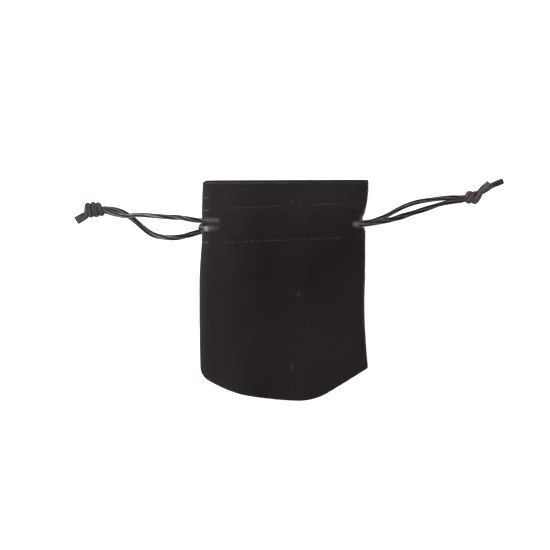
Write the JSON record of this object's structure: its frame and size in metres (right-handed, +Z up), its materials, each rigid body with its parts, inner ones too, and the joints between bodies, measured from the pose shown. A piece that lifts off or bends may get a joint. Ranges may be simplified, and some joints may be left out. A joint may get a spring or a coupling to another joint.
{
  "type": "drawstring pouch",
  "caption": "Small black velvet drawstring pouch for dice, lying empty on its back, with a stitched casing at the mouth and a satin cord knotted at each side.",
  "frame": {"origin": "middle of the pouch's footprint, on the surface it lies on", "axes": "+Y towards the mouth, +X to the right seen from above, +Z up through the front panel"},
  "size_m": [0.1969, 0.1017, 0.0112],
  "materials": {
    "velvet": "short black velvet pile, soft sheen at the edges",
    "thread": "black sewing thread",
    "satin_cord": "round satin cord, glossy along its length"
  },
  "bodies": {
    "pouch": {"front_panel": "velvet", "back_panel": "velvet", "front_casing_hem": "velvet", "back_casing_hem": "velvet", "front_upper_stitching": "thread", "front_lower_stitching": "thread", "back_upper_stitching": "thread", "back_lower_stitching": "thread", "side_and_bottom_seam": "thread", "left_edge_tacks": "thread"},
    "left_drawcord": {"left_cord_front_strand": "satin_cord", "left_cord_back_strand": "satin_cord", "left_cord_casing_loop": "satin_cord", "left_cord_knot": "satin_cord", "left_cord_tails": "satin_cord"},
    "right_drawcord": {"right_cord_front_strand": "satin_cord", "right_cord_back_strand": "satin_cord", "right_cord_casing_loop": "satin_cord", "right_cord_knot": "satin_cord", "right_cord_tails": "satin_cord"}
  },
  "joints": [
    {"name": "left_draw", "type": "slide", "parent": "pouch", "child": "left_drawcord", "axis": [-1, 0, 0], "range_m": [0, 0.023], "deforming": ["front_panel", "back_panel", "front_casing_hem", "back_casing_hem", "front_upper_stitching", "front_lower_stitching", "back_upper_stitching", "back_lower_stitching", "side_and_bottom_seam", "left_edge_tacks"]},
    {"name": "right_draw", "type": "slide", "parent": "pouch", "child": "right_drawcord", "axis": [1, 0, 0], "range_m": [0, 0.023], "deforming": ["front_panel", "back_panel", "front_casing_hem", "back_casing_hem", "front_upper_stitching", "front_lower_stitching", "back_upper_stitching", "back_lower_stitching", "side_and_bottom_seam", "left_edge_tacks"]}
  ]
}
